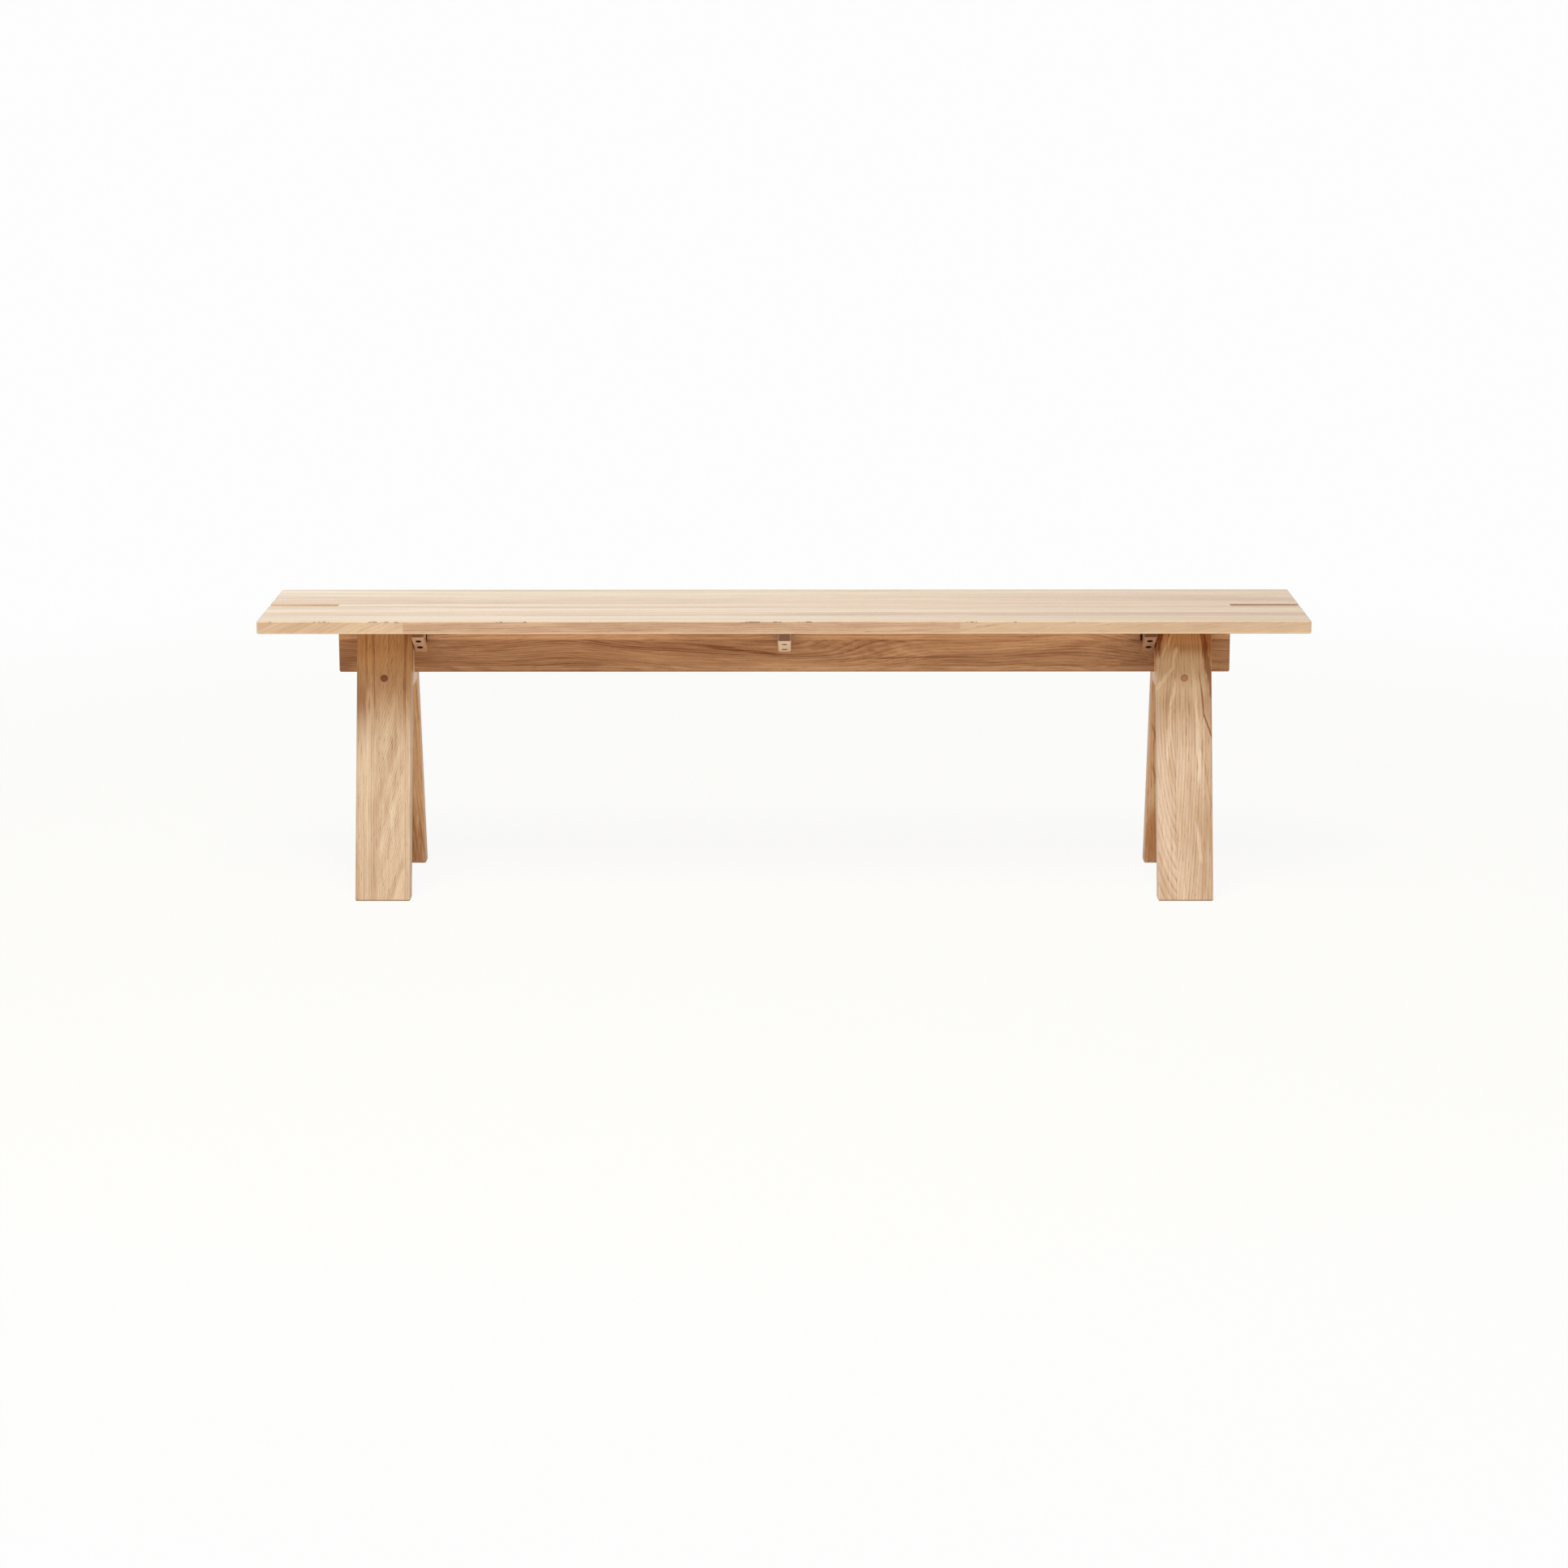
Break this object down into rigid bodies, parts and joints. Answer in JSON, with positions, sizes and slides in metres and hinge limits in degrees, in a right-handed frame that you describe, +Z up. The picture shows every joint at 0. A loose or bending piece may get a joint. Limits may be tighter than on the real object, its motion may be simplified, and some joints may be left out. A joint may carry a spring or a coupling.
{
  "type": "bench",
  "caption": "Long solid-wood bench: staved seat on a deep centre rail, splayed plank trestle legs, tapered cross battens halved over the rail.",
  "frame": {"origin": "middle of the bench's footprint, on the floor", "axes": "+X along the bench to the right, +Y from the pictured side to the back, +Z up"},
  "size_m": [1.648, 0.33, 0.45],
  "materials": {
    "seat_oak": "oiled, straight-grained staves",
    "lath_oak": "oiled, straight grain",
    "rail_oak": "oiled, long swirling grain",
    "leg_oak": "oiled, bold upright grain",
    "block_oak": "oiled, fine grain",
    "batten_oak": "oiled, fine grain",
    "plug_oak": "oiled, end grain",
    "dowel_beech": "plain",
    "screw_steel": "dull zinc"
  },
  "bodies": {
    "root": {"batten_screws_centre": "screw_steel", "batten_screws_left": "screw_steel", "batten_screws_right": "screw_steel", "centre_lath": "lath_oak", "centre_rail": "rail_oak", "cross_batten_centre": "batten_oak", "cross_batten_left": "batten_oak", "cross_batten_right": "batten_oak", "leg_dowels_left": "dowel_beech", "leg_dowels_right": "dowel_beech", "leg_front_left": "leg_oak", "leg_front_right": "leg_oak", "leg_plug_front_left": "plug_oak", "leg_plug_front_right": "plug_oak", "leg_plug_rear_left": "plug_oak", "leg_plug_rear_right": "plug_oak", "leg_rear_left": "leg_oak", "leg_rear_right": "leg_oak", "leg_screws_left": "screw_steel", "leg_screws_right": "screw_steel", "saddle_block_left": "block_oak", "saddle_block_right": "block_oak", "saddle_screws_left": "screw_steel", "saddle_screws_right": "screw_steel", "seat_stave_front_1": "seat_oak", "seat_stave_front_2": "seat_oak", "seat_stave_front_3": "seat_oak", "seat_stave_front_4_left": "seat_oak", "seat_stave_front_4_middle": "seat_oak", "seat_stave_front_4_right": "seat_oak", "seat_stave_rear_1": "seat_oak", "seat_stave_rear_2": "seat_oak", "seat_stave_rear_3": "seat_oak"}
  },
  "joints": []
}
